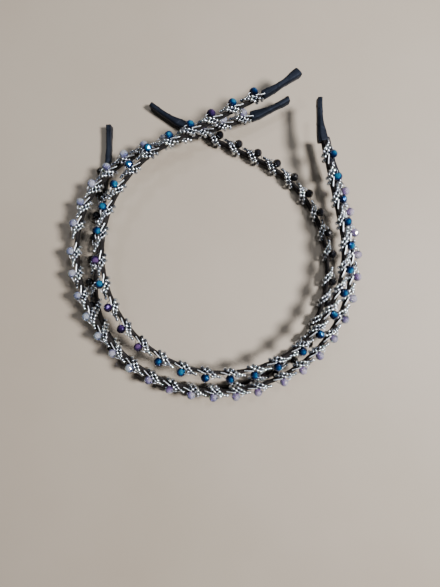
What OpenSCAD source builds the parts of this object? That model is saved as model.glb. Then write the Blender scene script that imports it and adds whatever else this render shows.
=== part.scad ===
// Three slim beaded headbands, nested in a stack. Each is a spring strip standing on its edge inside a
// ribbon sleeve, and wire around the sleeve carries two slanting rows of silver beads and one crystal in
// each wrap. Satin covers close the ends. X and Y lie in the plane of the ring, and Z is up. Millimetres.

/* [Spring strip] */
// Thickness of the strip, from its inner to its outer face
strip_t = 0.8; // [0.6:0.1:0.9]
// Height of the strip, from edge to edge
strip_h = 3.4; // [3:0.1:5]
// Thickness of the ribbon sleeve around the strip
sleeve_t = 1.5; // [1.5:0.1:2]
// Height of the ribbon sleeve
sleeve_h = 4; // [3.8:0.1:4.5]
// Length of each ribbon-covered end
tip_len = 19; // [14:0.5:24]
// Clearance between bands that lie on each other
stack_gap = 0.35; // [0.3:0.05:1]

/* [Bands] */
// Radius of the crown of the black, clear and blue band, to the middle of the strip
crown_radius = [57.8, 66, 54.9]; // [50:0.1:70]
// Radius of the curved part of each left arm
left_radius = [46.4, 48, 54.9]; // [40:0.1:70]
// Radius of the curved part of each right arm
right_radius = [57.8, 60, 54.9]; // [40:0.1:70]
// Angle that each left arm has turned through, from the middle of the crown, where it runs straight
left_turn = [121, 127, 125]; // [110:1:140]
// Angle that each right arm has turned through where it runs straight
right_turn = [130, 138, 130]; // [110:1:140]
// Length of each straight stretch of left arm, up to its cover
left_len = [53.7, 51, 48.4]; // [25:1:60]
// Length of each straight stretch of right arm, up to its cover
right_len = [39.2, 26.5, 39.7]; // [25:1:60]
// Angle through which each left cover flares away from the ring
left_flare = [8, 14, 12]; // [0:1:25]
// Angle through which each right cover flares away from the ring
right_flare = [14, 0, 14]; // [0:1:25]
// Distance along the crown from one bead wrap to the next. On the arms it is fitted to their length.
wrap_pitch = [10.3, 10.1, 10.7]; // [10.1:0.1:14]
// Number of bead wraps on each crown
crown_wraps = [13, 13, 11]; // [5:2:15]
// Direction that the mouth of each band faces, from +X
mouth_angle = [115, 55, 62]; // [0:1:359]
// Middle of the ring of each band along X
ring_x = [-3.1, 1.9, 4.1]; // [-20:0.1:20]
// Middle of the ring of each band along Y
ring_y = [-13.7, -5.4, -6.6]; // [-20:0.1:20]

/* [Beads and crystals] */
// Diameter of a silver bead
bead_d = 1.5; // [1.2:0.05:1.5]
// Bore of a silver bead
bead_bore = 0.8; // [0.6:0.05:0.9]
// Beads in each slanting row over the top edge
row_beads = 6; // [3:1:6]
// Beads that follow each row down the inner face
inner_beads = 1; // [0:1:2]
// Diameter of a crystal
crystal_d = 4; // [3:0.1:4.2]
// Length of a crystal along its bore
crystal_len = 3.4; // [2.5:0.1:3.6]
// Bore of a crystal
crystal_bore = 0.9; // [0.6:0.05:1.2]
// Diameter of the wrapping wire
wire_d = 0.35; // [0.2:0.05:0.4]

/* [Ribbon covers] */
// Width of each left cover beside the beads, black, clear and blue
left_base_w = [2.8, 4.4, 3.4]; // [2.2:0.1:5]
// Width of each left cover at its free end
left_end_w = [2.7, 2.9, 4]; // [2:0.1:5]
// Width of each right cover beside the beads
right_base_w = [4.2, 4.2, 4.7]; // [2.2:0.1:5]
// Width of each right cover at its free end
right_end_w = [2.4, 2.5, 2.2]; // [2:0.1:5]
// Width of every cover at its waist
waist_w = 2.4; // [2:0.1:3]
// Height of every cover
cover_h = 4.9; // [4:0.1:5]

/* [Hidden] */
$fn = 24;
BANDS = ["black", "clear", "blue"];
PIECES = [
    "crown_strip", "left_strip", "right_strip",
    "crown_sleeve", "left_sleeve", "right_sleeve",
    "left_cover", "right_cover",
    "crown_beads", "left_beads", "right_beads",
    "crown_crystals", "left_crystals", "right_crystals",
    "crown_wire", "left_wire", "right_wire"
];

// Gap between the wire and the sleeve
wire_gap = 0.05;
// Heights within one band. Its lowest point, the wire under the sleeve, is at zero.
sleeve_z = wire_d + wire_gap;
sleeve_top = sleeve_z + sleeve_h;
strip_z = sleeve_z + (sleeve_h - strip_h) / 2;

// Bead centres follow a half circle over the top edge of the sleeve, then run down its inner face.
arch_r = sleeve_t / 2 + bead_d / 2 + 0.3;
arch_z = sleeve_top - 0.8;
// Step from bead to bead, along the strip and around the arch
bead_step_s = 1.2;
bead_step_q = 1.02;
bead_step_z = bead_d + 0.07;
// Distance along the strip between the two rows of a wrap
row_gap = 2.4;
// Half of the strip that one wrap takes up
wrap_half = row_gap / 2 + (row_beads - 1) / 2 * bead_step_s + bead_d / 2;
// From the middle of a wrap to the far side of its wire foot, with a clear gap
foot_reach = wrap_half - bead_d / 2 + bead_step_s + wire_d;
layer_pitch = arch_z + arch_r + bead_d / 2 + stack_gap;

// Place of a crystal in its wrap, and how far its bore rises from the run of the strip
crystal_back = 2.2;
crystal_out = sleeve_t / 2 + crystal_d / 2;
crystal_z = sleeve_z + sleeve_h / 2 + 1.3;
crystal_tilt = 30;
// Width of a crystal's ends and length of its round middle, as shares of its own width and length
crystal_ends = 0.55;
crystal_middle = 0.3;

// Shares of a cover's length where it stops narrowing and starts widening
waist_from = 0.6;
waist_to = 0.5;

// How far a straight piece of wire ends before each bend, and the length of the wire through a crystal, as a
// share of the crystal's length
wire_trim = 0.2;
crystal_pass = 1.3;

// The flex joint's round tongue and the groove that it turns in
tongue_r = 0.55;
groove_r = 0.65;
// Bare strip kept on each side of a flex joint
joint_clear = wrap_half + 1.3;
// Gap between the sleeves of the crown and an arm, to each side of the flex joint
sleeve_gap = 0.4;
slot_gap = 0.05;
outline_step = 2.5;

crystal_colors = ["#16181c", "#b9b6cf", "#1f5f8c"];

// Lengths along the strip, measured from the middle of the crown. side is -1 for left and 1 for right.
function of_side(side, left, right) = side < 0 ? left : right;
function arm_radius(b, side) = of_side(side, left_radius[b], right_radius[b]);
function arm_turn(b, side) = of_side(side, left_turn[b], right_turn[b]);
function joint_s(b) = (crown_wraps[b] - 1) / 2 * wrap_pitch[b] + joint_clear;
function joint_turn(b) = joint_s(b) / crown_radius[b] * 180 / PI;
function bend_end(b, side) =
    joint_s(b) + arm_radius(b, side) * (arm_turn(b, side) - joint_turn(b)) * PI / 180;
function cover_start(b, side) = bend_end(b, side) + of_side(side, left_len[b], right_len[b]);
function tip_end(b, side) = cover_start(b, side) + tip_len;
// From the middle of an arm's first wrap to the middle of its last, and how many steps that is
function last_wrap_s(b, side) = cover_start(b, side) - of_side(side, foot_reach, wrap_half);
function arm_span(b, side) = last_wrap_s(b, side) - joint_s(b) - joint_clear;
function arm_steps(b, side) = round(arm_span(b, side) / wrap_pitch[b]);

// A place on the strip is [x, y, heading]. These two run on from one, on an arc or straight.
function arc_on(p, r, run) =
    let (h = p[2] + run / r * 180 / PI)
    [p[0] + r * (sin(h) - sin(p[2])), p[1] - r * (cos(h) - cos(p[2])), h];
function step_on(p, run, heading) = [p[0] + run * cos(heading), p[1] + run * sin(heading), p[2]];
function crown_end(b) = arc_on([0, -crown_radius[b], 0], crown_radius[b], joint_s(b));
function on_crown(b, s) = arc_on([0, -crown_radius[b], 0], crown_radius[b], s);
function on_bend(b, side, s) = arc_on(crown_end(b), arm_radius(b, side), s - joint_s(b));
function on_arm(b, side, s) =
    let (p = on_bend(b, side, bend_end(b, side)))
    step_on(p, s - bend_end(b, side), p[2]);
// The covered end turns the other way on a wide arc, so it leaves the ring.
function on_tip(b, side, s) =
    let (run = s - cover_start(b, side))
    let (turn = of_side(side, left_flare[b], right_flare[b]) * run / tip_len)
    let (p = on_arm(b, side, cover_start(b, side)))
    let (q = step_on(p, run, p[2] - turn / 2))
    [q[0], q[1], p[2] - turn];
function on_side(b, side, s) =
    s < joint_s(b) ? on_crown(b, s)
    : s < bend_end(b, side) ? on_bend(b, side, s)
    : s < cover_start(b, side) ? on_arm(b, side, s)
    : on_tip(b, side, s);
// The left side is a mirror image, with s below zero.
function strip_at(b, s) =
    let (p = on_side(b, s < 0 ? -1 : 1, abs(s)))
    s < 0 ? [-p[0], p[1], -p[2]] : p;
// Point at distance s along the strip and n outwards from its middle
function beside(b, s, n) =
    let (p = strip_at(b, s))
    [p[0] + n * sin(p[2]), p[1] - n * cos(p[2])];
// Outline of a stretch of strip. widths gives its half width at each of its stations.
function stretch(b, stations, widths) = concat(
    [for (i = [0 : len(stations) - 1]) beside(b, stations[i], widths[i])],
    [for (i = [len(stations) - 1 : -1 : 0]) beside(b, stations[i], -widths[i])]
);
function stations(s0, s1) =
    let (n = ceil(abs(s1 - s0) / outline_step))
    [for (i = [0 : n]) s0 + (s1 - s0) * i / n];
function even_widths(list, w) = [for (i = list) w / 2];

function point_at(b, s, n, z) = concat(beside(b, s, n), [z]);
// Centre of bead i in a row, in band coordinates. row is -1 or 1. Bead 0 is the innermost one over the top
// edge, and those with i below 0 hang straight under it.
function row_at(b, wrap, row, i) =
    let (k = i - (row_beads - 1) / 2)
    let (turn = k * bead_step_q / arch_r * 180 / PI)
    point_at(b, wrap + row * row_gap / 2 + k * bead_step_s, arch_r * sin(turn), arch_z + arch_r * cos(turn));
function bead_at(b, wrap, row, i) =
    i < 0 ? row_at(b, wrap, row, 0) + [0, 0, i * bead_step_z] : row_at(b, wrap, row, i);

// Where the wraps of each part of a band are
function crown_places(b) =
    [for (i = [0 : crown_wraps[b] - 1]) (i - (crown_wraps[b] - 1) / 2) * wrap_pitch[b]];
function arm_places(b, side) =
    let (steps = arm_steps(b, side))
    [for (i = [0 : steps]) side * (joint_s(b) + joint_clear + i * arm_span(b, side) / steps)];

module place_band(b) {
    translate([ring_x[b], ring_y[b], b * layer_pitch])
        rotate([0, 0, mouth_angle[b] - 90])
            children();
}

// Turns +Z to point from one place to another and puts the children at the middle of the two
module between(from, to) {
    d = to - from;
    length = norm(d);
    translate((from + to) / 2)
        rotate([0, acos(d[2] / length), atan2(d[1], d[0])])
            children();
}

module straight_wire(from, to, trim) {
    between(from, to)
        cylinder(h = norm(to - from) - 2 * trim, d = wire_d, center = true);
}

module upright_pin(b, s, r) {
    translate(point_at(b, s, 0, strip_z))
        cylinder(h = strip_h, r = r);
}

// Upright wall through a list of stations, of one thickness and height
module wall(b, list, thickness, z, height) {
    translate([0, 0, z])
        linear_extrude(height)
            polygon(stretch(b, list, even_widths(list, thickness)));
}

module crown_strip(b) {
    color("dimgray")
        difference() {
            wall(b, stations(-joint_s(b), joint_s(b)), strip_t, strip_z, strip_h);
            for (side = [-1, 1])
                translate([0, 0, -1])
                    translate(point_at(b, side * joint_s(b), 0, 0))
                        cylinder(h = sleeve_top + 2, r = groove_r);
        }
}

module arm_strip(b, side) {
    list = stations(side * joint_s(b), side * (tip_end(b, side) - 1));
    color("dimgray")
        union() {
            wall(b, list, strip_t, strip_z, strip_h);
            upright_pin(b, side * joint_s(b), tongue_r);
        }
}

// Space for the strip inside a sleeve or a cover
module strip_slot(b, list) {
    wall(b, list, strip_t + 2 * slot_gap, strip_z - slot_gap, strip_h + 2 * slot_gap);
}

module ribbon_sleeve(b, s0, s1) {
    list = stations(s0, s1);
    inner = [for (i = [1 : len(list) - 2]) list[i]];
    // The slot runs straight past both ends of the sleeve.
    past = sign(s1 - s0);
    color("#1b1c20")
        difference() {
            wall(b, list, sleeve_t, sleeve_z, sleeve_h);
            strip_slot(b, concat([s0 - past], inner, [s1 + past]));
        }
}

module crown_sleeve(b) {
    end = joint_s(b) - sleeve_gap;
    ribbon_sleeve(b, -end, end);
}

module arm_sleeve(b, side) {
    ribbon_sleeve(b, side * (joint_s(b) + sleeve_gap), side * cover_start(b, side));
}

// Half width of a cover at a share u of its length: full beside the beads, narrow at the waist
function cover_half(u, base_w, end_w) =
    (waist_w + (base_w - waist_w) * pow(cos(90 * min(1, u / waist_from)), 2)
        + (end_w - waist_w) * pow(sin(90 * max(0, (u - waist_to) / (1 - waist_to))), 2)) / 2;

module ribbon_cover(b, side, base_w, end_w) {
    start = cover_start(b, side);
    list = stations(side * start, side * tip_end(b, side));
    widths = [for (s = list) cover_half((abs(s) - start) / tip_len, base_w, end_w)];
    color("#15161a")
        difference() {
            linear_extrude(cover_h)
                polygon(stretch(b, list, widths));
            strip_slot(b, stations(side * (start - 1), side * (tip_end(b, side) - 1 + slot_gap)));
        }
}

module silver_beads(b, places) {
    color("silver")
        for (wrap = places, row = [-1, 1], i = [-inner_beads : row_beads - 1])
            between(bead_at(b, wrap, row, i - 0.5), bead_at(b, wrap, row, i + 0.5))
                difference() {
                    sphere(d = bead_d);
                    cylinder(h = bead_d + 1, d = bead_bore, center = true);
                }
}

// End of the bore of a crystal. end is -1 or 1.
function crystal_end(b, wrap, end) = point_at(
    b,
    wrap - crystal_back + end * crystal_len / 2 * cos(crystal_tilt),
    crystal_out,
    crystal_z + end * crystal_len / 2 * sin(crystal_tilt)
);

module crystal() {
    rim = crystal_d / 2;
    half = crystal_len / 2;
    rotate_extrude($fn = 48)
        polygon([
            [crystal_bore / 2, -half], [rim * crystal_ends, -half], [rim, -half * crystal_middle],
            [rim, half * crystal_middle], [rim * crystal_ends, half], [crystal_bore / 2, half]
        ]);
}

module crystals(b, places) {
    color(crystal_colors[b])
        for (wrap = places)
            between(crystal_end(b, wrap, -1), crystal_end(b, wrap, 1))
                crystal();
}

// Wire of one wrap: through both rows of beads, down the inner face, under the sleeve, and through the
// crystal
module wrap_wire(b, wrap) {
    face_n = sleeve_t / 2 + wire_d / 2 + wire_gap;
    for (row = [-1, 1]) {
        for (i = [-inner_beads : row_beads - 2])
            straight_wire(bead_at(b, wrap, row, i), bead_at(b, wrap, row, i + 1), wire_trim);
        inner_s = wrap + row * row_gap / 2 - (row_beads - 1) / 2 * bead_step_s;
        inner_foot = point_at(b, inner_s, -face_n, wire_d / 2);
        outer_foot = point_at(b, inner_s - bead_step_s, face_n, wire_d / 2);
        straight_wire(bead_at(b, wrap, row, -inner_beads), inner_foot, wire_trim);
        straight_wire(inner_foot, outer_foot, wire_trim);
    }
    straight_wire(crystal_end(b, wrap, -crystal_pass), crystal_end(b, wrap, crystal_pass), 0);
}

module wires(b, places) {
    color("lightgray")
        for (wrap = places)
            wrap_wire(b, wrap);
}

module band_piece(b, piece) {
    place_band(b) {
        if (piece == "crown_strip") crown_strip(b);
        if (piece == "left_strip") arm_strip(b, -1);
        if (piece == "right_strip") arm_strip(b, 1);
        if (piece == "crown_sleeve") crown_sleeve(b);
        if (piece == "left_sleeve") arm_sleeve(b, -1);
        if (piece == "right_sleeve") arm_sleeve(b, 1);
        if (piece == "left_cover") ribbon_cover(b, -1, left_base_w[b], left_end_w[b]);
        if (piece == "right_cover") ribbon_cover(b, 1, right_base_w[b], right_end_w[b]);
        if (piece == "crown_beads") silver_beads(b, crown_places(b));
        if (piece == "left_beads") silver_beads(b, arm_places(b, -1));
        if (piece == "right_beads") silver_beads(b, arm_places(b, 1));
        if (piece == "crown_crystals") crystals(b, crown_places(b));
        if (piece == "left_crystals") crystals(b, arm_places(b, -1));
        if (piece == "right_crystals") crystals(b, arm_places(b, 1));
        if (piece == "crown_wire") wires(b, crown_places(b));
        if (piece == "left_wire") wires(b, arm_places(b, -1));
        if (piece == "right_wire") wires(b, arm_places(b, 1));
    }
}

for (b = [0 : len(BANDS) - 1], piece = PIECES)
    band_piece(b, piece);
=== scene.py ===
import math
import random

import bpy
import numpy as np
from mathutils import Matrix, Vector


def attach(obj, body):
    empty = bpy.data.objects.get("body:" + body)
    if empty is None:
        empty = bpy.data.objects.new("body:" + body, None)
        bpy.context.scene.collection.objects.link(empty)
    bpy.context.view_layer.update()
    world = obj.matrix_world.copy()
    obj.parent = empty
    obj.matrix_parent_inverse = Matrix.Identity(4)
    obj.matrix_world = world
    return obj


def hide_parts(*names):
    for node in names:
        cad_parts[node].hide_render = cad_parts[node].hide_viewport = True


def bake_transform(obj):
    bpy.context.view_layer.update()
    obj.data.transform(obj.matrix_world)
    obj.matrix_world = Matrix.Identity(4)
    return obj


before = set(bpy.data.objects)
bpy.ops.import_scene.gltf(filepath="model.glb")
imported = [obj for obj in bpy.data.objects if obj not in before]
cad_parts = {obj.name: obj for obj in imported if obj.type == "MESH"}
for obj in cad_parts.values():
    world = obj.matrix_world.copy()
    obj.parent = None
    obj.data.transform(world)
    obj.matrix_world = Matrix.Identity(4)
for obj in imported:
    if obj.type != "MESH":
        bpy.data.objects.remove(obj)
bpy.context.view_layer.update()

# The part's own driving values, in millimetres and degrees. Lists run black, clear, blue.
MM = 0.001
BANDS = ("black", "clear", "blue")
STRIP_T, STRIP_H = 0.8, 3.4
SLEEVE_T, SLEEVE_H = 1.5, 4.0
TIP_LEN = 19.0
STACK_GAP = 0.35
CROWN_RADIUS = (57.8, 66, 54.9)
LEFT_RADIUS = (46.4, 48, 54.9)
RIGHT_RADIUS = (57.8, 60, 54.9)
LEFT_TURN = (121, 127, 125)
RIGHT_TURN = (130, 138, 130)
LEFT_LEN = (53.7, 51, 48.4)
RIGHT_LEN = (39.2, 26.5, 39.7)
LEFT_FLARE = (8, 14, 12)
RIGHT_FLARE = (14, 0, 14)
WRAP_PITCH = (10.3, 10.1, 10.7)
CROWN_WRAPS = (13, 13, 11)
MOUTH_ANGLE = (115, 55, 62)
RING_X = (-3.1, 1.9, 4.1)
RING_Y = (-13.7, -5.4, -6.6)
BEAD_D, BEAD_BORE = 1.5, 0.8
ROW_BEADS, INNER_BEADS = 6, 1
CRYSTAL_D, CRYSTAL_LEN, CRYSTAL_BORE = 4.0, 3.4, 0.9
WIRE_D = 0.35
LEFT_BASE_W = (2.8, 4.4, 3.4)
LEFT_END_W = (2.7, 2.9, 4.0)
RIGHT_BASE_W = (4.2, 4.2, 4.7)
RIGHT_END_W = (2.4, 2.5, 2.2)
WAIST_W, COVER_H = 2.4, 4.9
# Shares of a cover's length where it stops narrowing and starts widening
WAIST_FROM, WAIST_TO = 0.6, 0.5

WIRE_GAP = 0.05
SLEEVE_Z = WIRE_D + WIRE_GAP
SLEEVE_TOP = SLEEVE_Z + SLEEVE_H
BAND_MID = SLEEVE_Z + SLEEVE_H / 2
# Bead centres follow a half circle over the sleeve, ARCH_R in radius and ARCH_Z up.
ARCH_R = SLEEVE_T / 2 + BEAD_D / 2 + 0.3
ARCH_Z = SLEEVE_TOP - 0.8
# Step from bead to bead along the strip, round the half circle and straight down, and from row to row
STEP_S, STEP_Q, STEP_Z, ROW_GAP = 1.2, 1.02, BEAD_D + 0.07, 2.4
# Half the strip that one wrap takes up, and what its wire takes up on the side where it goes round
WRAP_HALF = ROW_GAP / 2 + (ROW_BEADS - 1) / 2 * STEP_S + BEAD_D / 2
FOOT_REACH = WRAP_HALF - BEAD_D / 2 + STEP_S + WIRE_D
LAYER_PITCH = ARCH_Z + ARCH_R + BEAD_D / 2 + STACK_GAP
CRYSTAL_BACK, CRYSTAL_TILT = 2.2, math.radians(30)
CRYSTAL_OUT, CRYSTAL_Z = SLEEVE_T / 2 + CRYSTAL_D / 2, BAND_MID + 1.3
JOINT_CLEAR = WRAP_HALF + 1.3
# Radius of the drawn wire, and of the smooth bar that lies over each wrap of the clear and blue bands
WIRE_R, BAR_R = WIRE_D / 2 - 0.01, 0.23
# How far the sleeve's core and its ribbon lie inside its outer face, and the radius of its corners
CORE_INSET, RIBBON_INSET, SLEEVE_CORNER = 0.06, 0.05, 0.6
# The floor's size and how far it lies under the set, in metres
FLOOR_SIZE, FLOOR_DROP = 24.0, 0.0001

# Where the camera is, above the table
CAMERA_AT = (2.8, -25.6, 215.0)


# ---------------------------------------------------------------- the line of each band
def joint_s(b):
    return (CROWN_WRAPS[b] - 1) / 2 * WRAP_PITCH[b] + JOINT_CLEAR


def of_side(b, side, left, right):
    """The value of band b in the list of its left or right side. side is -1 or 1."""
    return left[b] if side < 0 else right[b]


def bend_end(b, side):
    turn = of_side(b, side, LEFT_TURN, RIGHT_TURN) - math.degrees(joint_s(b) / CROWN_RADIUS[b])
    return joint_s(b) + of_side(b, side, LEFT_RADIUS, RIGHT_RADIUS) * math.radians(turn)


def cover_start(b, side):
    return bend_end(b, side) + of_side(b, side, LEFT_LEN, RIGHT_LEN)


def tip_end(b, side):
    return cover_start(b, side) + TIP_LEN


# A place on the strip is x, y and heading in radians. These two run on from one, on an arc or straight.
def arc_on(p, r, run):
    h = p[2] + run / r
    return (p[0] + r * (math.sin(h) - math.sin(p[2])), p[1] - r * (math.cos(h) - math.cos(p[2])), h)


def step_on(p, run, heading):
    return (p[0] + run * math.cos(heading), p[1] + run * math.sin(heading), p[2])


def on_side(b, side, s):
    """Place at distance s from the middle of the crown. Both sides are given as the right one."""
    r = CROWN_RADIUS[b]
    if s < joint_s(b):
        return arc_on((0, -r, 0), r, s)
    crown = arc_on((0, -r, 0), r, joint_s(b))
    arm_r = of_side(b, side, LEFT_RADIUS, RIGHT_RADIUS)
    if s < bend_end(b, side):
        return arc_on(crown, arm_r, s - joint_s(b))
    bend = arc_on(crown, arm_r, bend_end(b, side) - joint_s(b))
    if s < cover_start(b, side):
        return step_on(bend, s - bend_end(b, side), bend[2])
    base = step_on(bend, cover_start(b, side) - bend_end(b, side), bend[2])
    run = s - cover_start(b, side)
    turn = math.radians(of_side(b, side, LEFT_FLARE, RIGHT_FLARE)) * run / TIP_LEN
    q = step_on(base, run, base[2] - turn / 2)
    return (q[0], q[1], q[2] - turn)


def lines(b, stations):
    """Places, outward directions and forward directions at stations along band b, as arrays, in mm."""
    spin = math.radians(MOUTH_ANGLE[b] - 90)
    c, w = math.cos(spin), math.sin(spin)
    place, out, ahead = [], [], []
    for s in np.atleast_1d(stations):
        x, y, h = on_side(b, -1 if s < 0 else 1, abs(s))
        if s < 0:
            x, h = -x, -h
        place.append((x * c - y * w + RING_X[b], x * w + y * c + RING_Y[b], b * LAYER_PITCH))
        h += spin
        out.append((math.sin(h), -math.cos(h), 0))
        ahead.append((math.cos(h), math.sin(h), 0))
    return np.array(place), np.array(out), np.array(ahead)


def at(b, s, n, z):
    """Points at stations s, n outwards and z up in band b. All three may be arrays of one length."""
    s, n, z = np.broadcast_arrays(np.atleast_1d(s), n, z)
    place, out, _ = lines(b, s)
    return place + out * n[:, None] + np.array([0, 0, 1.0]) * z[:, None]


# ---------------------------------------------------------------- meshes
def new_object(name, verts, faces, material, smooth=True, attributes=None, sharp=None):
    """Object from verts in mm. Edges sharper than sharp degrees stay hard in a smooth mesh."""
    mesh = bpy.data.meshes.new(name)
    mesh.from_pydata((np.asarray(verts, float) * MM).tolist(), [], faces)
    mesh.polygons.foreach_set("use_smooth", [smooth] * len(mesh.polygons))
    for key, values in (attributes or {}).items():
        layer = mesh.attributes.new(key, "FLOAT", "POINT")
        layer.data.foreach_set("value", np.asarray(values, np.float32))
    if sharp is not None:
        mesh.set_sharp_from_angle(angle=math.radians(sharp))
    mesh.validate()
    mesh.update()
    obj = bpy.data.objects.new(name, mesh)
    bpy.context.collection.objects.link(obj)
    obj.data.materials.append(material)
    return obj


class Pile:
    """Gathers the meshes of many small pieces into one."""

    def __init__(self):
        self.verts, self.faces, self.values, self.count = [], [], {}, 0

    def add(self, verts, faces, **values):
        verts = np.asarray(verts, float)
        self.verts.append(verts)
        self.faces.extend([tuple(i + self.count for i in f) for f in faces])
        for key, value in values.items():
            self.values.setdefault(key, []).append(np.broadcast_to(value, (len(verts),)))
        self.count += len(verts)

    def build(self, name, material, **kw):
        attributes = {k: np.concatenate(v) for k, v in self.values.items()}
        return new_object(name, np.concatenate(self.verts), self.faces, material, attributes=attributes, **kw)


def grid_faces(rows, cols, close_cols=True):
    """Faces of a grid of points, row by row. Each row is a ring if close_cols is true."""
    faces = []
    for i in range(rows - 1):
        for j in range(cols if close_cols else cols - 1):
            k = (j + 1) % cols
            faces.append((i * cols + j, i * cols + k, (i + 1) * cols + k, (i + 1) * cols + j))
    return faces


def closed_faces(rows, cols):
    """Faces round a sweep of closed rows, with a cap at each end."""
    return grid_faces(rows, cols) + [
        tuple(range(cols - 1, -1, -1)),
        tuple(range((rows - 1) * cols, rows * cols)),
    ]


def facing_out(faces, flipped):
    """Faces, turned over where the side of the band that they are on would leave them inside out."""
    return [tuple(reversed(face)) for face in faces] if flipped else faces


def ring_points(r, z, count, shift=0):
    """Points of a ring about Z, which starts at shift steps."""
    turns = [2 * math.pi * (j + shift) / count for j in range(count)]
    return [(r * math.cos(a), r * math.sin(a), z) for a in turns]


def revolved(profile, around):
    """Mesh of a closed (r, z) profile turned about Z."""
    verts = [point for r, z in profile for point in ring_points(r, z, around)]
    faces = []
    for i in range(len(profile)):
        k = (i + 1) % len(profile)
        for j in range(around):
            m = (j + 1) % around
            faces.append((i * around + j, i * around + m, k * around + m, k * around + j))
    return np.array(verts), faces


def bead_mesh():
    """Round seed bead with a bore and softly rolled lips."""
    r, bore = BEAD_D / 2, BEAD_BORE / 2
    profile = []
    for a in np.linspace(-58, 58, 9):
        t = math.radians(a)
        profile.append((r * math.cos(t) ** 0.86, r * 0.95 * math.sin(t)))
    lip = profile[-1][1]
    profile += [(bore + 0.03, lip + 0.03), (bore, lip - 0.1), (bore, -lip + 0.1), (bore + 0.03, -lip - 0.03)]
    return revolved(profile, 18)


def crystal_mesh():
    """Fire-polished crystal: a flat at each end, a girdle with facets on both sides of it, and the bore."""
    rim, half, bore, n = CRYSTAL_D / 2, CRYSTAL_LEN / 2, CRYSTAL_BORE / 2, 9
    rings = [
        (bore, -half + 0.14, 0), (rim * 0.5, -half, 0), (rim * 0.86, -half * 0.58, 0.5), (rim, 0, 0),
        (rim * 0.86, half * 0.58, 0.5), (rim * 0.5, half, 0), (bore, half - 0.14, 0),
    ]
    verts = [point for r, z, shift in rings for point in ring_points(r, z, n, shift)]
    faces = []
    for i in range(len(rings) - 1):
        low, high = i * n, (i + 1) * n
        d = rings[i + 1][2] - rings[i][2]
        for j in range(n):
            k, before = (j + 1) % n, (j - 1) % n
            if d == 0:
                faces.append((low + j, low + k, high + k, high + j))
            elif d > 0:
                faces.append((low + j, low + k, high + j))
                faces.append((low + j, high + j, high + before))
            else:
                faces.append((low + j, high + k, high + j))
                faces.append((low + j, low + k, high + k))
    last = (len(rings) - 1) * n
    faces += [(last + j, last + (j + 1) % n, (j + 1) % n, j) for j in range(n)]
    return np.array(verts), faces


def turned(verts, axis, centre, spin=0.0, scale=1.0):
    """Stands a mesh's Z along axis at centre."""
    z = np.asarray(axis, float) / np.linalg.norm(axis)
    up = np.array([0, 0, 1.0]) if abs(z[2]) < 0.9 else np.array([1.0, 0, 0])
    x = np.cross(up, z)
    x /= np.linalg.norm(x)
    y = np.cross(z, x)
    c, s = math.cos(spin), math.sin(spin)
    rot = np.stack([c * x + s * y, -s * x + c * y, z])
    return verts * scale @ rot + centre


def smooth_line(points, each=4):
    """Catmull-Rom line through points."""
    p = np.asarray(points, float)
    p = np.vstack([2 * p[0] - p[1], p, 2 * p[-1] - p[-2]])
    out = []
    for i in range(1, len(p) - 2):
        for t in np.linspace(0, 1, each, endpoint=False):
            a, b, c, d = p[i - 1 : i + 3]
            square, cube = 2 * a - 5 * b + 4 * c - d, 3 * b - a - 3 * c + d
            out.append(0.5 * (2 * b + (c - a) * t + square * t**2 + cube * t**3))
    out.append(p[-2])
    return np.array(out)


def tube(points, radius, around=8):
    """Round tube along points, narrowed at its ends."""
    p = np.asarray(points, float)
    along = np.gradient(p, axis=0)
    along /= np.linalg.norm(along, axis=1)[:, None]
    side = np.cross(along[0], [0, 0, 1.0])
    if np.linalg.norm(side) < 1e-3:
        side = np.cross(along[0], [1.0, 0, 0])
    side /= np.linalg.norm(side)
    p = np.vstack([p[0] - along[0] * radius * 0.5, p, p[-1] + along[-1] * radius * 0.5])
    along = np.vstack([along[0], along, along[-1]])
    radii = [radius * 0.55] + [radius] * (len(p) - 2) + [radius * 0.55]
    verts = []
    for i in range(len(p)):
        side = side - along[i] * np.dot(side, along[i])
        side /= np.linalg.norm(side)
        up = np.cross(along[i], side)
        for j in range(around):
            a = 2 * math.pi * j / around
            verts.append(p[i] + radii[i] * (math.cos(a) * side + math.sin(a) * up))
    return np.array(verts), closed_faces(len(p), around)


def rounded_outline(half_n, half_z, corner, per_corner=6, per_edge=4):
    """Points and outward normals round an upright rounded rectangle, centred on 0."""
    pts, nrm = [], []
    corners = ((1, 1, 0), (-1, 1, 90), (-1, -1, 180), (1, -1, 270))

    def on_corner(cn, cz, a):
        return cn * (half_n - corner) + corner * math.cos(a), cz * (half_z - corner) + corner * math.sin(a)

    for k, (cn, cz, a0) in enumerate(corners):
        for i in range(per_corner + 1):
            a = math.radians(a0 + 90 * i / per_corner)
            pts.append(on_corner(cn, cz, a))
            nrm.append((math.cos(a), math.sin(a)))
        next_n, next_z, _ = corners[(k + 1) % 4]
        a = math.radians(a0 + 90)
        end, far = np.array(pts[-1]), np.array(on_corner(next_n, next_z, a))
        for i in range(1, per_edge):
            pts.append(tuple(end + (far - end) * i / per_edge))
            nrm.append((math.cos(a), math.sin(a)))
    return np.array(pts), np.array(nrm)


# ---------------------------------------------------------------- materials
def material(name):
    mat = bpy.data.materials.new(name)
    mat.use_nodes = True
    tree = mat.node_tree
    return mat, tree, tree.nodes["Principled BSDF"]


def socket_of(sockets, key):
    """The socket with this name, or else this identifier."""
    return sockets[key] if key in sockets else [s for s in sockets if s.identifier == key][0]


def node(tree, kind, inputs=None, **settings):
    """New node. inputs gives sockets, by name, identifier or number, a value or a link."""
    made = tree.nodes.new(kind)
    for key, value in settings.items():
        setattr(made, key, value)
    for key, value in (inputs or {}).items():
        socket = made.inputs[key] if isinstance(key, int) else socket_of(made.inputs, key)
        if isinstance(value, bpy.types.NodeSocket):
            tree.links.new(value, socket)
        else:
            socket.default_value = value
    return made


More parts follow.
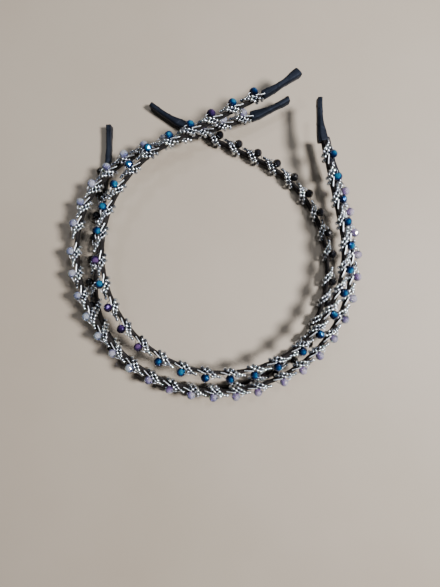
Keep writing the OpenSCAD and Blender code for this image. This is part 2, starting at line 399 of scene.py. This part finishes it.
def ramp(tree, factor, stops):
    made = node(tree, "ShaderNodeValToRGB", {"Fac": factor})
    points = made.color_ramp.elements
    while len(points) < len(stops):
        points.new(0.5)
    for point, (position, colour) in zip(points, stops):
        point.position = position
        point.color = (*colour, 1.0)
    return made.outputs["Color"]


def coordinates(tree):
    return node(tree, "ShaderNodeTexCoord").outputs["Object"]


def noise(tree, scale, detail=3.0, roughness=0.5, vector=None):
    return node(
        tree, "ShaderNodeTexNoise",
        {"Vector": vector or coordinates(tree), "Scale": scale, "Detail": detail, "Roughness": roughness},
    ).outputs["Fac"]


def math_node(tree, operation, *inputs):
    return node(tree, "ShaderNodeMath", dict(enumerate(inputs)), operation=operation).outputs[0]


def spread(tree, factor, low, high):
    """Noise stretched to run from low to high."""
    limits = {"Value": factor, "From Min": 0.3, "From Max": 0.7, "To Min": low, "To Max": high}
    return node(tree, "ShaderNodeMapRange", limits).outputs["Result"]


def bump(tree, shader, height, distance, strength=1.0):
    made = node(tree, "ShaderNodeBump", {"Height": height, "Distance": distance, "Strength": strength})
    tree.links.new(made.outputs["Normal"], shader.inputs["Normal"])


def carried(tree, name):
    """A value that the mesh carries at each vertex."""
    return node(tree, "ShaderNodeAttribute", attribute_name=name).outputs["Fac"]


def set_values(shader, **values):
    """Constants of a shader, with spaces in their names written as underscores."""
    for key, value in values.items():
        shader.inputs[key.replace("_", " ")].default_value = value


def silver(name, dark, light, low, high, grain, brushed=False):
    """Plated metal with tarnish in patches and its own shade for each bead or wire. Beads also darken towards
    their bores with painted shade, where they meet their neighbours.
    """
    mat, tree, shader = material(name)
    both = math_node(tree, "ADD", noise(tree, 420, 4), carried(tree, "tone"))
    shade = math_node(tree, "MULTIPLY", both, 0.5)
    # Painted shade: a bead's colour darkens towards its bore ends, where it meets the next bead.
    if not brushed:
        shade = math_node(tree, "MULTIPLY", shade, carried(tree, "belly"))
    bright = tuple(min(1, c * 1.75) for c in light)
    colour = ramp(tree, shade, [(0.22, dark), (0.42, light), (0.7, bright)])
    tree.links.new(colour, shader.inputs["Base Color"])
    tree.links.new(spread(tree, noise(tree, 1500, 2), low, high), shader.inputs["Roughness"])
    set_values(shader, Metallic=1.0)
    bump(tree, shader, noise(tree, 5200 if brushed else 2600, 3), grain)
    return mat


def satin(name, dark, light, sheen, weave, gloss, shine):
    """Woven ribbon: fine warp and weft, worn lighter in places, with a bluish sheen."""
    mat, tree, shader = material(name)
    threads = {"Vector": coordinates(tree), "Scale": weave, "Distortion": 0.8, "Detail": 1.0}
    warp, weft, rise = (
        node(tree, "ShaderNodeTexWave", threads, bands_direction=way).outputs["Fac"] for way in "XYZ"
    )
    cloth = math_node(tree, "MULTIPLY_ADD", math_node(tree, "MAXIMUM", warp, weft), rise)
    patches = noise(tree, 260, 5, 0.6)
    tree.links.new(ramp(tree, patches, [(0.3, dark), (0.62, light)]), shader.inputs["Base Color"])
    tree.links.new(spread(tree, noise(tree, 900, 3), gloss - 0.07, gloss + 0.09), shader.inputs["Roughness"])
    set_values(shader, Sheen_Weight=0.03, Sheen_Roughness=0.35, Sheen_Tint=(*sheen, 1.0))
    set_values(shader, Specular_IOR_Level=shine, Specular_Tint=(*sheen, 1.0))
    bump(tree, shader, cloth, 0.00003, 0.6)
    return mat


def strip_steel():
    """Cold-rolled steel, its fine grain along the strip."""
    mat, tree, shader = material("spring_steel_strip")
    stretch = node(tree, "ShaderNodeMapping", {"Vector": coordinates(tree), "Scale": (1, 1, 60)})
    grain = noise(tree, 900, 4, 0.6, stretch.outputs["Vector"])
    colour = ramp(tree, grain, [(0.3, (0.1, 0.1, 0.11)), (0.7, (0.32, 0.32, 0.34))])
    tree.links.new(colour, shader.inputs["Base Color"])
    tree.links.new(spread(tree, grain, 0.25, 0.42), shader.inputs["Roughness"])
    set_values(shader, Metallic=1.0)
    bump(tree, shader, grain, 0.00001)
    return mat


def crystal_glass(
    name, stops, violet, roughness, coat, transmission=0.0, film=0.0, metallic=0.0, shine=0.5, edge=(1, 1, 1)
):
    """Faceted glass. Its colour runs through stops, or through violet, from dark to bright towards its
    painted lit side.
    """
    mat, tree, shader = material(name)
    swirl = math_node(tree, "MULTIPLY", noise(tree, 600, 2, 0.5), 0.24)
    own = math_node(tree, "MULTIPLY_ADD", carried(tree, "tone"), 0.22, swirl)
    # The colour brightens towards the side that faces the key light: painted highlight.
    depth = math_node(tree, "ADD", carried(tree, "coated"), own)
    colours = {
        "Factor_Float": carried(tree, "purple"),
        "A_Color": ramp(tree, depth, stops),
        "B_Color": ramp(tree, depth, violet),
    }
    colour = node(tree, "ShaderNodeMix", colours, data_type="RGBA")
    tree.links.new(socket_of(colour.outputs, "Result_Color"), shader.inputs["Base Color"])
    matt = spread(tree, noise(tree, 2200, 2), roughness, roughness + 0.05)
    tree.links.new(matt, shader.inputs["Roughness"])
    set_values(shader, IOR=1.6, Metallic=metallic, Transmission_Weight=transmission)
    set_values(shader, Specular_IOR_Level=shine, Specular_Tint=(*edge, 1.0))
    set_values(shader, Coat_Weight=coat, Coat_Roughness=0.03, Coat_IOR=1.7)
    if film:
        set_values(shader, Thin_Film_Thickness=film, Thin_Film_IOR=1.9)
    bump(tree, shader, noise(tree, 1200, 2), 0.00001, 0.5)
    return mat


def table_top():
    mat, tree, shader = material("pale_table")
    patches = noise(tree, 9, 4, 0.55)
    colour = ramp(tree, patches, [(0.3, (0.285, 0.24, 0.19)), (0.7, (0.315, 0.27, 0.22))])
    tree.links.new(colour, shader.inputs["Base Color"])
    set_values(shader, Roughness=0.62)
    bump(tree, shader, noise(tree, 700, 3), 0.00003, 0.5)
    return mat


STEEL = strip_steel()
BEAD_SILVER = silver("bead_silver", (0.03, 0.03, 0.035), (0.52, 0.57, 0.68), 0.14, 0.26, 0.00002)
WIRE_SILVER = silver("wire_silver", (0.06, 0.06, 0.065), (0.5, 0.53, 0.6), 0.26, 0.4, 0.000008, brushed=True)
SLEEVE_SATIN = satin(
    "sleeve_ribbon", (0.004, 0.0036, 0.0036), (0.013, 0.0115, 0.011), (0.8, 0.8, 0.9), 2600, 0.78, 0.12
)
COVER_SATIN = satin(
    "cover_satin", (0.002, 0.0026, 0.0045), (0.0055, 0.0072, 0.012), (0.58, 0.7, 1.0), 2600, 0.5, 0.16
)
# The ramps run from a crystal's shaded side to its painted lit side. Their bright last stops are painted
# highlight.
JET = [(0.2, (0.001, 0.001, 0.0015)), (0.7, (0.003, 0.003, 0.004)), (1.0, (0.007, 0.007, 0.01))]
CLEAR = [
    (0.15, (0.06, 0.07, 0.16)), (0.45, (0.17, 0.2, 0.42)),
    (0.75, (0.36, 0.44, 0.7)), (1.0, (0.8, 0.88, 1.0)),
]
LAVENDER = [
    (0.15, (0.08, 0.04, 0.14)), (0.45, (0.25, 0.15, 0.4)),
    (0.75, (0.48, 0.34, 0.66)), (1.0, (0.9, 0.8, 0.96)),
]
BLUE = [
    (0.4, (0.002, 0.004, 0.016)), (0.68, (0.004, 0.018, 0.08)),
    (0.88, (0.006, 0.05, 0.18)), (1.0, (0.018, 0.2, 0.36)),
]
VIOLET = [
    (0.4, (0.006, 0.003, 0.018)), (0.7, (0.025, 0.012, 0.07)),
    (0.88, (0.05, 0.024, 0.11)), (1.0, (0.17, 0.09, 0.25)),
]
CRYSTALS = (
    crystal_glass("jet_crystal", JET, JET, 0.1, 0.15, shine=0.4),
    crystal_glass("clear_ab_crystal", CLEAR, LAVENDER, 0.03, 0.8, transmission=0.7, film=380),
    crystal_glass("blue_iris_crystal", BLUE, VIOLET, 0.07, 0.3, metallic=0.6, edge=(0.15, 0.3, 0.55)),
)
TABLE = table_top()

# ---------------------------------------------------------------- one band
BEAD = bead_mesh()
# How far each bead vertex is from the bore ends, 1 round the middle. It darkens the bead ends with painted
# shade where the beads meet.
BEAD_END_SHADE = np.clip(1.25 - 1.2 * (np.abs(BEAD[0][:, 2]) / (BEAD_D / 2)) ** 2, 0, 1)
CRYSTAL = crystal_mesh()


# Where the wraps of each part of a band are, along the strip
def crown_places(b):
    return [(i - (CROWN_WRAPS[b] - 1) / 2) * WRAP_PITCH[b] for i in range(CROWN_WRAPS[b])]


def arm_places(b, side):
    last_reach = FOOT_REACH if side < 0 else WRAP_HALF
    span = cover_start(b, side) - last_reach - joint_s(b) - JOINT_CLEAR
    steps = math.floor(span / WRAP_PITCH[b] + 0.5)
    return [side * (joint_s(b) + JOINT_CLEAR + i * span / steps) for i in range(steps + 1)]


def row_at(b, wrap, row, i):
    """Centre of bead i of a row over the top edge. row is -1 or 1."""
    k = i - (ROW_BEADS - 1) / 2
    turn = k * STEP_Q / ARCH_R
    s = wrap + row * ROW_GAP / 2 + k * STEP_S
    return at(b, s, ARCH_R * math.sin(turn), ARCH_Z + ARCH_R * math.cos(turn))[0]


def bead_at(b, wrap, row, i):
    """Centre of bead i of a row. Those below 0 hang straight down the inner face."""
    return row_at(b, wrap, row, max(i, 0)) + np.array([0, 0, min(i, 0) * STEP_Z])


def sleeve_core(b, side):
    """Plain inner layer of the sleeve, closed at its ends."""
    outline, _ = rounded_outline(SLEEVE_T / 2 - CORE_INSET, SLEEVE_H / 2 - CORE_INSET, SLEEVE_CORNER)
    stations = np.append(np.arange(0, cover_start(b, side) + 0.5, 0.8), cover_start(b, side) + 0.6)
    rows = [at(b, side * s, outline[:, 0], BAND_MID + outline[:, 1]) for s in stations]
    return np.concatenate(rows), facing_out(closed_faces(len(rows), len(outline)), side > 0)


def sleeve_ribbon(b, side, rng):
    """The ribbon itself, wound in a helix so that each turn laps over the one before it."""
    width, lap, lift = 4.4, 0.9, 0.1
    outline, normal = rounded_outline(SLEEVE_T / 2 - RIBBON_INSET, SLEEVE_H / 2 - RIBBON_INSET, SLEEVE_CORNER)
    n = len(outline)
    length = cover_start(b, side) + 0.5
    across = np.array([0.0, 0.02, 0.12, 0.5, lap, 1.5, 2.2, 3.0, 3.8, width + 0.02])
    heights = [0.01, lift * 0.8, lift, lift * 0.85, 0.012, 0.01]
    height = np.interp(across, [0, 0.02, 0.12, lap, 1.3, width], heights)
    rows = []
    turns = int(length / width) + 2
    for step in range(turns * n):
        j = step % n
        base = step / n * width - width
        crease = 0.02 * math.sin(step * 0.37) + rng.uniform(-0.004, 0.004)
        s = np.clip(base + across, 0, length)
        rise = height + crease * np.sin(np.linspace(0, math.pi, len(across)))
        out, up = (outline[j, k] + normal[j, k] * rise for k in (0, 1))
        rows.append(at(b, side * s, out, BAND_MID + up))
    verts = np.concatenate(rows)
    quads = np.array(grid_faces(len(rows), len(across), False))
    # The turns are cut off at both ends, and what is left of them there has no area.
    corners = [verts[quads[:, k]] for k in range(4)]
    area = np.linalg.norm(np.cross(corners[2] - corners[0], corners[3] - corners[1]), axis=1) / 2
    return verts, facing_out(quads[area > 1e-6].tolist(), side < 0)


def strip_core(b, side):
    """The spring strip, with rolled edges."""
    outline, _ = rounded_outline(STRIP_T / 2, STRIP_H / 2, 0.3, 4, 3)
    stations = np.linspace(0, tip_end(b, side) - 1, int(tip_end(b, side) / 1.2))
    rows = [at(b, side * s, outline[:, 0], BAND_MID + outline[:, 1]) for s in stations]
    return np.concatenate(rows), facing_out(closed_faces(len(rows), len(outline)), side > 0)


def cover_half(u, base_w, end_w):
    """Half width of a cover at a share u of its length."""
    near = (base_w - WAIST_W) * math.cos(math.radians(90 * min(1, u / WAIST_FROM))) ** 2
    far = (end_w - WAIST_W) * math.sin(math.radians(90 * max(0, (u - WAIST_TO) / (1 - WAIST_TO)))) ** 2
    return (WAIST_W + near + far) / 2


def cover_mesh(b, side, rng):
    """Ribbon over the end of the strip: gathered beside the beads, lapped along one face, cut square."""
    base_w, end_w = of_side(b, side, LEFT_BASE_W, RIGHT_BASE_W), of_side(b, side, LEFT_END_W, RIGHT_END_W)
    start, around = cover_start(b, side), 96
    whole = 2 * math.pi
    pleats = [(rng.uniform(0, whole), rng.choice((3, 4, 5, 7)), rng.uniform(0.4, 1.0)) for _ in range(5)]
    slant = rng.uniform(-0.12, 0.28)
    laps, first_lap, turn_way = rng.uniform(2.2, 3.2), rng.uniform(0, 1), rng.choice((-1, 1))
    # Share of the length, inset and place of the rings that turn in beside the beads. For those that close
    # the cut end, the place is from the end.
    inner_rings = ((-0.02, 0.75, -0.2), (-0.03, 0.35, -0.45), (-0.02, 0.1, -0.4))
    end_rings = ((1.0, 0.09, 0.03), (1.0, 0.26, -0.02), (1.0, 0.34, -0.5), (1.0, 0.7, -1.0))

    def ring(u, inset, run):
        """Outline at a share u of the length, drawn in by inset, at a distance run along the cover."""
        half_n = cover_half(min(1, max(0, u)), base_w, end_w) - inset
        half_z = COVER_H / 2 - inset - 0.16 * math.sin(math.pi * min(1, max(0, u))) ** 2
        pts = []
        for j in range(around):
            t = whole * j / around
            c, w = math.cos(t), math.sin(t)
            n = half_n * math.copysign(abs(c) ** 0.62, c)
            z = half_z * math.copysign(abs(w) ** 0.5, w)
            gather = math.exp(-max(0, u) / 0.22)
            fold = sum(a * math.sin(k * t + p + 2.2 * u) for p, k, a in pleats) / 3
            crease = 0.2 * fold * gather + 0.13 * fold * (0.4 + u) + 0.04 * math.sin(9 * u + 3 * t)
            wound = (t / whole * turn_way + laps * u + first_lap) % 1
            crease += 0.17 * math.exp(-wound * 6) - 0.06
            lap = 0.13 / (1 + math.exp(-(t - 1.95) * 22)) * (1 / (1 + math.exp((t - 3.7) * 5)))
            n *= 1 - (0.2 * gather * (0.5 + 0.5 * math.sin(6 * t + 1))) / max(1.0, half_n)
            grow = min(crease, 0.16) + lap
            s = side * (start + run + slant * n * (u > 0.9))
            pts.append(at(b, s, n + grow * c, max(0.01, COVER_H / 2 + z + grow * w))[0])
        return np.array(pts)

    rows = [ring(*place) for place in inner_rings]
    rows += [ring(u, 0.0, u * (TIP_LEN - 0.05)) for u in np.linspace(0, 1, 80)]
    rows += [ring(u, inset, TIP_LEN + past) for u, inset, past in end_rings]
    return np.concatenate(rows), facing_out(closed_faces(len(rows), around), side > 0)


def tone_near(rng, middle, width):
    """Random shade of one bead or wire, from 0 dark to 1 bright."""
    return min(1, max(0, rng.gauss(middle, width)))


def beads_mesh(b, places, rng):
    """Two rows of beads in each wrap, each bead a little out of line."""
    pile = Pile()
    for wrap in places:
        for row in (-1, 1):
            for i in range(-INNER_BEADS, ROW_BEADS):
                ahead = bead_at(b, wrap, row, i + 0.5) - bead_at(b, wrap, row, i - 0.5)
                tilt = np.array([rng.gauss(0, 0.05) for _ in range(3)])
                shift = np.array([rng.gauss(0, 0.03) for _ in range(3)])
                axis = ahead / np.linalg.norm(ahead) + tilt
                centre = bead_at(b, wrap, row, i) + shift
                verts = turned(BEAD[0], axis, centre, rng.uniform(0, 6), rng.uniform(1.0, 1.04))
                # Each bead carries painted shade towards its bore ends.
                pile.add(verts, BEAD[1], tone=tone_near(rng, 0.55, 0.2), belly=BEAD_END_SHADE)
    return pile


def crystal_frame(b, wrap):
    """The lower and upper end of a crystal's bore."""
    s, half = wrap - CRYSTAL_BACK, CRYSTAL_LEN / 2
    reach, rise = half * math.cos(CRYSTAL_TILT), half * math.sin(CRYSTAL_TILT)
    return at(b, (s - reach, s + reach), CRYSTAL_OUT, (CRYSTAL_Z - rise, CRYSTAL_Z + rise))


def crystals_mesh(b, places, rng):
    """One crystal in each wrap, with painted light on its side that faces up and a little along the X axis,
    towards the key light.
    """
    pile = Pile()
    for wrap in places:
        low, high = crystal_frame(b, wrap)
        axis = (high - low) / np.linalg.norm(high - low) + np.array([rng.gauss(0, 0.04) for _ in range(3)])
        verts = turned(CRYSTAL[0], axis, (low + high) / 2, rng.uniform(0, 6), rng.uniform(1.02, 1.06))
        # Painted light: the side of each crystal that faces up and towards the key light gets the bright end
        # of its colour ramp.
        facing = np.array([rng.gauss(0.5, 0.3), rng.gauss(0.1, 0.4), 1.0])
        coated = (verts - (low + high) / 2) @ (facing / np.linalg.norm(facing)) / CRYSTAL_D * 1.6
        # Chosen crystals of the blue band shine purple, and the clear ones turn to lavender on the right.
        purple = round(wrap, 1) in PURPLE if b == 2 else rng.uniform(0, 0.5) + 0.5 * (wrap > 0)
        coated = np.maximum(coated, 0)
        pile.add(verts, CRYSTAL[1], tone=rng.uniform(0, 1), coated=coated, purple=float(purple))
    return pile


def wrap_wires(b, wrap, rng):
    """Two strands of one wrap, through the beads and round the sleeve, and the bar beside the crystal."""
    face, last = SLEEVE_T / 2 + WIRE_D / 2 + WIRE_GAP, ROW_BEADS - 1
    strands = []
    for row in (-1, 1):
        inner = wrap + row * ROW_GAP / 2 - last / 2 * STEP_S
        through = [bead_at(b, wrap, row, i) for i in range(last, -1 - INNER_BEADS, -1)]
        down = [at(b, inner, -face - 0.25, 1.1)[0], at(b, inner - 0.1, -face, 0.45)[0]]
        under = [at(b, inner - 0.35, -face * 0.6, 0.2)[0], at(b, inner - 0.85, face * 0.6, 0.2)[0]]
        foot = inner - STEP_S
        if row < 0:
            low, high = crystal_frame(b, wrap)
            ahead = (high - low) / np.linalg.norm(high - low)
            lead = [at(b, foot - 0.1, face + 0.1, 0.5)[0], low - ahead * 0.5, low, high, high + ahead * 0.6]
            back = [at(b, wrap + 1.1, 2.45, 4.7)[0], through[0]]
            strands.append(smooth_line(through + down + under + lead + back, 4))
        else:
            lead = [at(b, foot, face, 0.5)[0], at(b, foot + 2.6, face, 0.75)[0]]
            back = [at(b, foot + 5.4, face + 0.05, 2.2)[0], through[0]]
            strands.append(smooth_line(through + down + under + lead + back, 4))
    wobble = rng.uniform(-0.15, 0.15)
    bar = smooth_line([
        at(b, wrap - 6.2, -0.35 + wobble, SLEEVE_TOP + 0.35)[0],
        at(b, wrap - 4.8, -0.05 + wobble, SLEEVE_TOP + 0.42)[0],
        at(b, wrap - 3.3, 0.35, SLEEVE_TOP + 0.45)[0],
        at(b, wrap - 2.2, 0.62, SLEEVE_TOP + 0.5)[0],
    ], 5)
    return strands, bar


def wires_mesh(b, places, rng):
    """The wire of each wrap, and its bar on the clear and blue bands."""
    pile = Pile()
    for wrap in places:
        strands, bar = wrap_wires(b, wrap, rng)
        for line in strands:
            pile.add(*tube(line, WIRE_R), tone=tone_near(rng, 0.3, 0.12))
        if BANDS[b] != "black":
            pile.add(*tube(bar, BAR_R, 10), tone=tone_near(rng, 0.95, 0.05))
    return pile


# The crystals of the blue band that shine purple, counted from its left end
BLUE_PLACES = sorted(arm_places(2, -1) + crown_places(2) + arm_places(2, 1))
PURPLE = {round(BLUE_PLACES[i], 1) for i in (2, 10, 12, 13, 14)}

for b, band in enumerate(BANDS):
    rng = random.Random(40 + b)
    for side, word in ((-1, "left"), (1, "right")):
        _, _, ahead = lines(b, side * joint_s(b))
        arm, crown = f"{band}_{word}_arm", f"{band}_crown"
        for name, mesh, mat, kind in (
            ("sleeve_core", sleeve_core(b, side), SLEEVE_SATIN, "sleeve"),
            ("sleeve_ribbon", sleeve_ribbon(b, side, rng), SLEEVE_SATIN, "sleeve"),
            ("spring_strip", strip_core(b, side), STEEL, "strip"),
        ):
            obj = new_object(f"{band}_{word}_{name}_look", *mesh, mat, sharp=50)
            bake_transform(obj)
            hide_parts(f"{band}_crown_{kind}", f"{band}_{word}_{kind}")
        cover = new_object(f"{band}_{word}_cover_look", *cover_mesh(b, side, rng), COVER_SATIN, sharp=60)
        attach(cover, arm)
        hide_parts(f"{band}_{word}_cover")
    for word, body, places in (
        ("crown", f"{band}_crown", crown_places(b)),
        ("left", f"{band}_left_arm", arm_places(b, -1)),
        ("right", f"{band}_right_arm", arm_places(b, 1)),
    ):
        for kind, make_mesh, mat, slot, shading in (
            ("beads", beads_mesh, BEAD_SILVER, "silver_beads", {"sharp": 70}),
            ("crystals", crystals_mesh, CRYSTALS[b], f"{band}_crystal", {"smooth": False}),
            ("wire", wires_mesh, WIRE_SILVER, "silver_wire", {}),
        ):
            obj = make_mesh(b, places, rng).build(f"{band}_{word}_{kind}_look", mat, **shading)
            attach(obj, body)
            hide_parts(f"{band}_{word}_{kind}")

# ---------------------------------------------------------------- table, light and camera
bpy.ops.mesh.primitive_grid_add(
    x_subdivisions=40, y_subdivisions=40, size=FLOOR_SIZE, location=(0, 0, -FLOOR_DROP)
)
floor = bpy.context.object
floor.name = "pale_floor"
floor.data.materials.append(TABLE)


def area_light(name, azimuth, elevation, distance, size, power, colour):
    """Round soft light that shines on the middle of the table from a distance in metres."""
    data = bpy.data.lights.new(name, "AREA")
    data.shape, data.size, data.energy, data.color = "DISK", size, power, colour
    obj = bpy.data.objects.new(name, data)
    bpy.context.collection.objects.link(obj)
    a, e = math.radians(azimuth), math.radians(elevation)
    obj.location = distance * Vector((math.cos(a) * math.cos(e), math.sin(a) * math.cos(e), math.sin(e)))
    obj.rotation_euler = (-obj.location).to_track_quat("-Z", "Y").to_euler()


area_light("window_key", -3, 52, 0.9, 0.2, 20.5, (1.0, 0.98, 0.96))
area_light("window_glint", 60, 65, 0.9, 0.12, 2.0, (0.93, 0.96, 1.0))
area_light("far_glint", 120, 60, 0.9, 0.12, 1.2, (0.93, 0.96, 1.0))

world = bpy.data.worlds.new("soft_room")
bpy.context.scene.world = world
world.use_nodes = True
sky = world.node_tree
around = node(sky, "ShaderNodeTexCoord").outputs["Generated"]
level = node(sky, "ShaderNodeSeparateXYZ", {"Vector": around}).outputs["Z"]
room = ramp(sky, level, [
    (0.0, (0.14, 0.137, 0.133)), (0.04, (0.16, 0.158, 0.155)),
    (0.35, (0.52, 0.52, 0.54)), (0.85, (0.2, 0.21, 0.23)),
])
back = sky.nodes["Background"]
sky.links.new(room, back.inputs["Color"])
back.inputs["Strength"].default_value = 0.22

lens = bpy.data.cameras.new("photo_camera")
lens.lens, lens.sensor_width = 27.0, 36.0
lens.clip_start, lens.clip_end = 0.01, 10.0
camera = bpy.data.objects.new("photo_camera", lens)
bpy.context.collection.objects.link(camera)
camera.location = Vector(CAMERA_AT) * MM
camera.rotation_euler = (0, 0, 0)
bpy.context.scene.camera = camera
